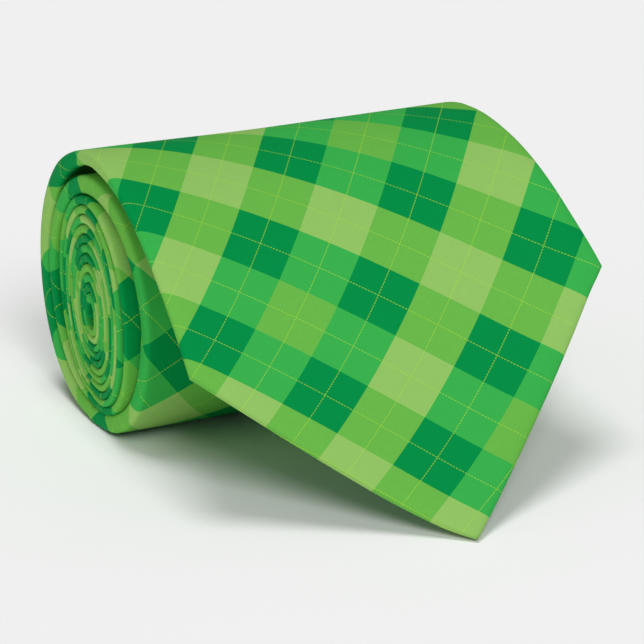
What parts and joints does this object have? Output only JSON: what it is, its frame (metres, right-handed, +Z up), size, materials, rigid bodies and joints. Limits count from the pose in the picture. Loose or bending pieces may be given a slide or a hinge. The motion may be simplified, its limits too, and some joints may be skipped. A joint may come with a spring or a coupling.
{
  "type": "necktie",
  "caption": "Rolled necktie in a green diagonal check, its wide pointed blade draped over the roll and down to the table.",
  "frame": {"origin": "middle of the whole tie's bounding box, on the table it lies on", "axes": "+X along the roll's axis towards its hollow end, -Y the way the wide blade falls, +Z up"},
  "size_m": [0.1016, 0.1334, 0.064],
  "materials": {
    "print_cloth": "printed satin-weave polyester, green check on the bias with thin yellow-green dashed lines",
    "tipping_cloth": "plain smooth lining",
    "interlining_cloth": "brushed matt, undyed",
    "thread": "twisted sewing thread",
    "label_cloth": "plain woven, blank"
  },
  "bodies": {
    "roll": {"front_blade_roll": "print_cloth", "neck_gusset": "print_cloth", "tail_blade": "print_cloth", "interlining_roll": "interlining_cloth", "tail_tipping": "tipping_cloth", "slip_stitch_roll": "thread", "tail_bar_tack": "thread", "keeper_loop": "print_cloth", "keeper_tack_left": "thread", "keeper_tack_right": "thread", "blank_label": "label_cloth", "care_tag": "label_cloth", "blade_neck_seam": "thread", "neck_tail_seam": "thread"},
    "flap": {"front_blade_flap": "print_cloth", "interlining_flap": "interlining_cloth", "front_tipping": "tipping_cloth", "slip_stitch_flap": "thread", "front_bar_tack": "thread", "slack_loop": "thread"}
  },
  "joints": [
    {"name": "flap_lift", "type": "hinge", "parent": "roll", "child": "flap", "pos_m": [0, 0.03456, 0.06404], "axis": [-1, 0, 0], "range_deg": [0, 90]}
  ]
}
